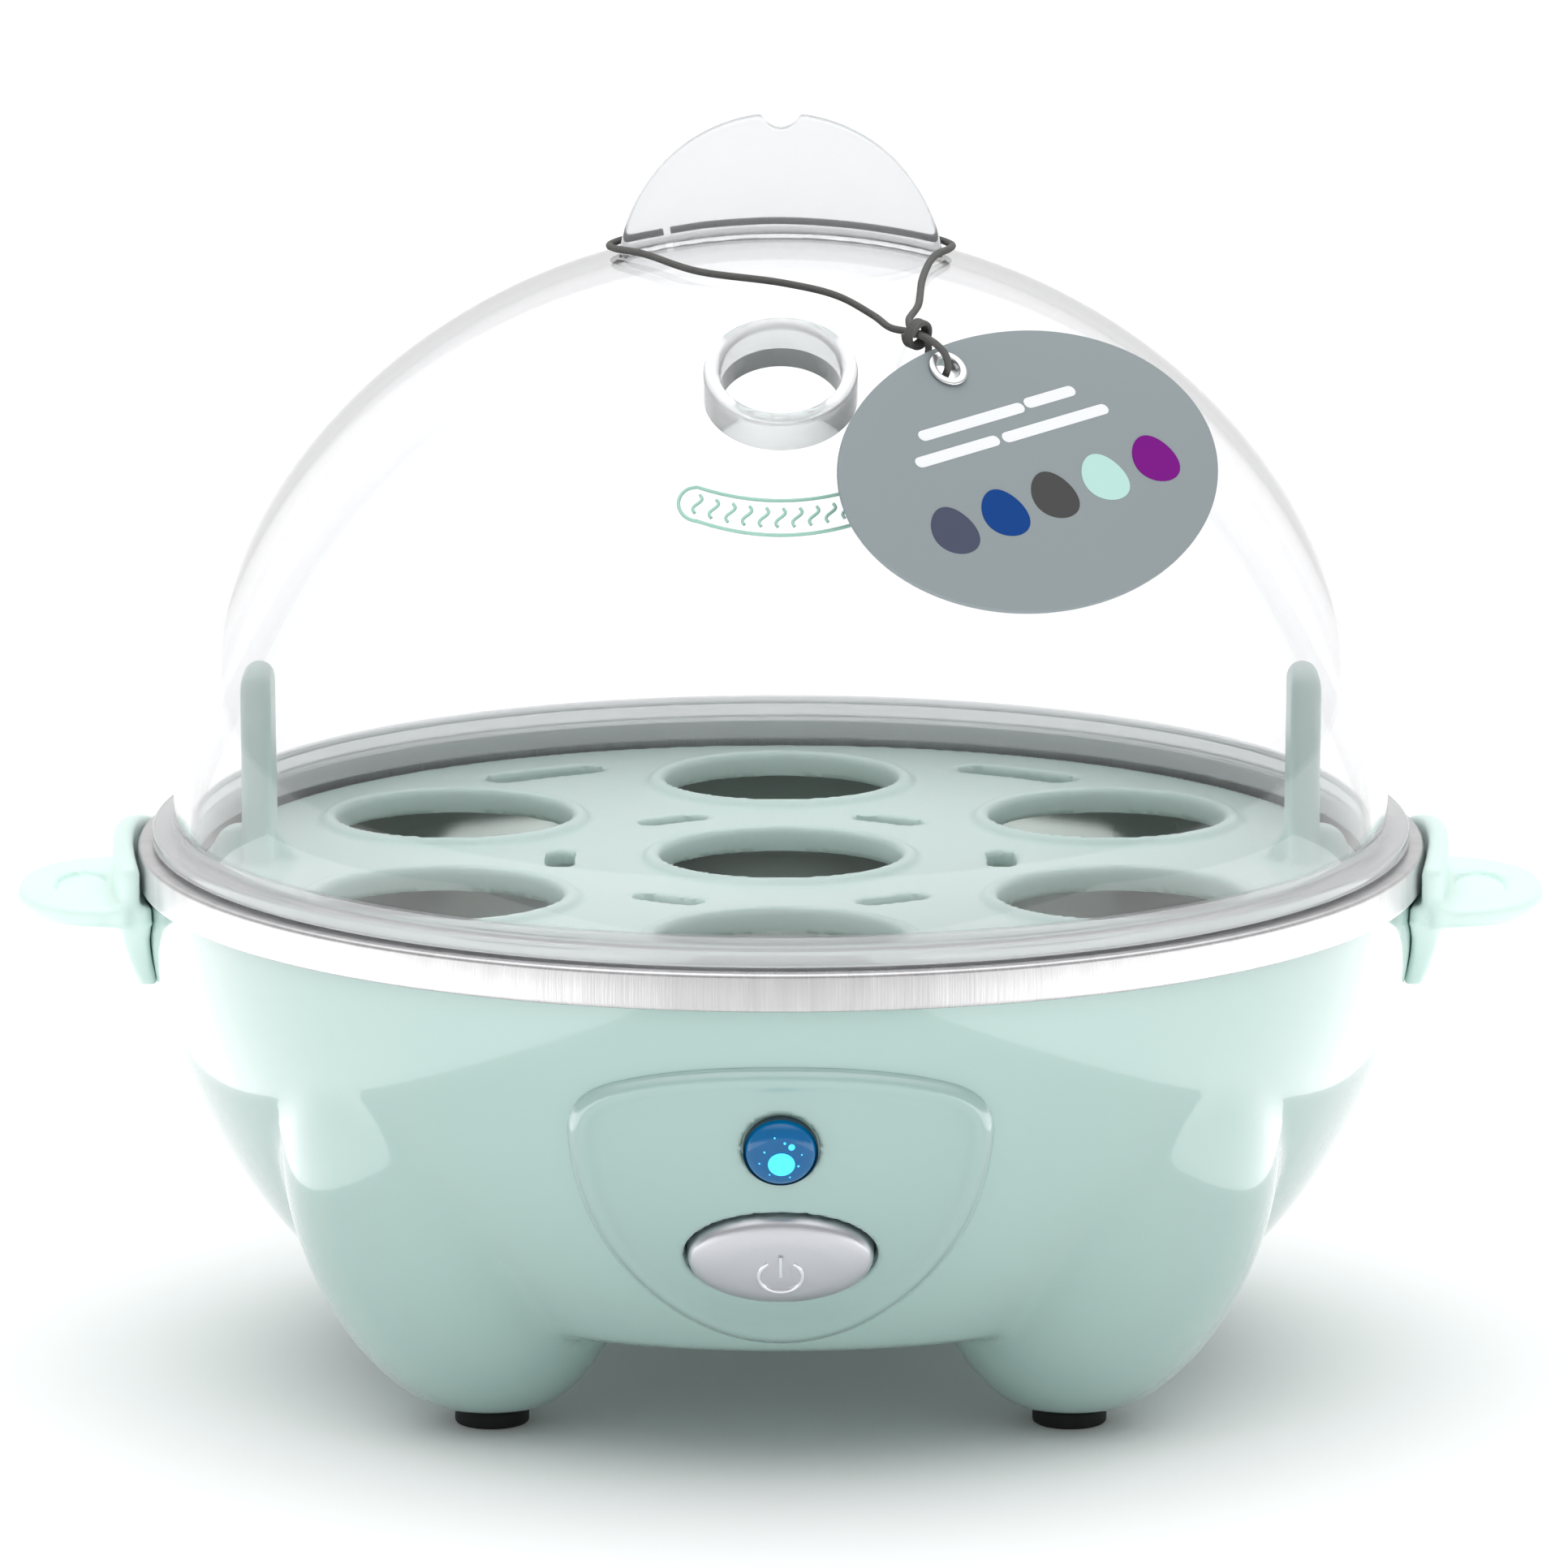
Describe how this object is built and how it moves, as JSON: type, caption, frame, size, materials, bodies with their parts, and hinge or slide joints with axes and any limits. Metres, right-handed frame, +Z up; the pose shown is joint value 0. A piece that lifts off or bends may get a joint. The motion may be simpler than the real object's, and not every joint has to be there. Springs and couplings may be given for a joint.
{
  "type": "egg cooker",
  "caption": "Electric egg steamer: bowl-shaped base on moulded legs, steel rim band, heated dish, lift-out egg tray and clear domed lid with fin handle and steam vent.",
  "frame": {"origin": "on the ground under the centre of the base", "axes": "+Z up, -Y towards the control panel (front), +X to the user's right, along the two side handles"},
  "size_m": [0.19, 0.16, 0.1563],
  "materials": {
    "mint_shell": "high gloss moulded plastic, pale mint",
    "panel_mint": "high gloss, slightly greyer mint",
    "pale_mint": "satin moulded plastic, very pale mint",
    "clear_lid": "clear moulded plastic",
    "frosted_fin": "frosted white moulded plastic",
    "brushed_band": "brushed round the rim",
    "dish_steel": "pressed stainless, satin",
    "element_sheath": "dull heater sheath",
    "shield_aluminium": "mill finish",
    "zinc_steel": "zinc plated",
    "brass_nut": "plain brass",
    "silver_button": "satin silver paint on plastic",
    "blue_lens": "translucent blue, domed",
    "black_plastic": "matt black",
    "white_plastic": "matt white",
    "board": "green solder mask",
    "black_rubber": "matt black rubber",
    "lead_brown": "insulated lead",
    "lead_blue": "insulated lead",
    "lead_red": "insulated lead",
    "lead_white": "insulated lead",
    "tag_card": "printed grey card",
    "tag_eyelet": "pressed eyelet",
    "tag_string": "grey waxed cord"
  },
  "bodies": {
    "base": {"base_shell": "mint_shell", "bottom_cover": "mint_shell", "foot_front_left": "black_rubber", "foot_front_right": "black_rubber", "foot_rear_right": "black_rubber", "foot_rear_left": "black_rubber", "cover_screw_1": "zinc_steel", "cover_screw_2": "zinc_steel", "cover_screw_3": "zinc_steel", "cover_screw_4": "zinc_steel", "control_panel": "panel_mint", "indicator_lens": "blue_lens", "indicator_led": "white_plastic", "power_switch": "black_plastic", "circuit_board": "board", "board_screw_1": "zinc_steel", "board_screw_2": "zinc_steel", "buzzer": "black_plastic", "rim_band": "brushed_band", "heating_dish": "dish_steel", "heating_element": "element_sheath", "heat_shield": "shield_aluminium", "shield_nut_1": "brass_nut", "shield_nut_2": "brass_nut", "shield_nut_3": "brass_nut", "thermostat": "black_plastic", "thermostat_strap": "zinc_steel", "thermal_fuse": "zinc_steel", "cord_gland": "black_rubber", "cord_clamp": "white_plastic", "clamp_screw_1": "zinc_steel", "clamp_screw_2": "zinc_steel", "terminal_block": "white_plastic", "lead_live": "lead_brown", "lead_neutral": "lead_blue", "lead_element": "lead_red", "lead_thermostat": "lead_white", "side_handle_left": "pale_mint", "side_handle_right": "pale_mint", "handle_screw_left": "zinc_steel", "handle_screw_right": "zinc_steel"},
    "button": {"button_cap": "silver_button", "switch_plunger": "white_plastic", "button_spring": "zinc_steel"},
    "tray": {"egg_tray": "pale_mint"},
    "lid": {"lid_dome": "clear_lid", "lid_fin": "frosted_fin", "tag_card": "tag_card", "tag_eyelet": "tag_eyelet", "tag_string": "tag_string", "tag_knot": "tag_string"}
  },
  "joints": [
    {"name": "tray_lift", "type": "slide", "parent": "base", "child": "tray", "axis": [0, 0, 1], "range_m": [0, 0.08]},
    {"name": "lid_lift", "type": "slide", "parent": "tray", "child": "lid", "axis": [0, 0, 1], "range_m": [0, 0.12]},
    {"name": "button_press", "type": "slide", "parent": "base", "child": "button", "axis": [0, 0.8604, 0.5096], "range_m": [0, 0.002], "stiffness_N_per_m": 600, "deforming": ["button_spring"]}
  ]
}
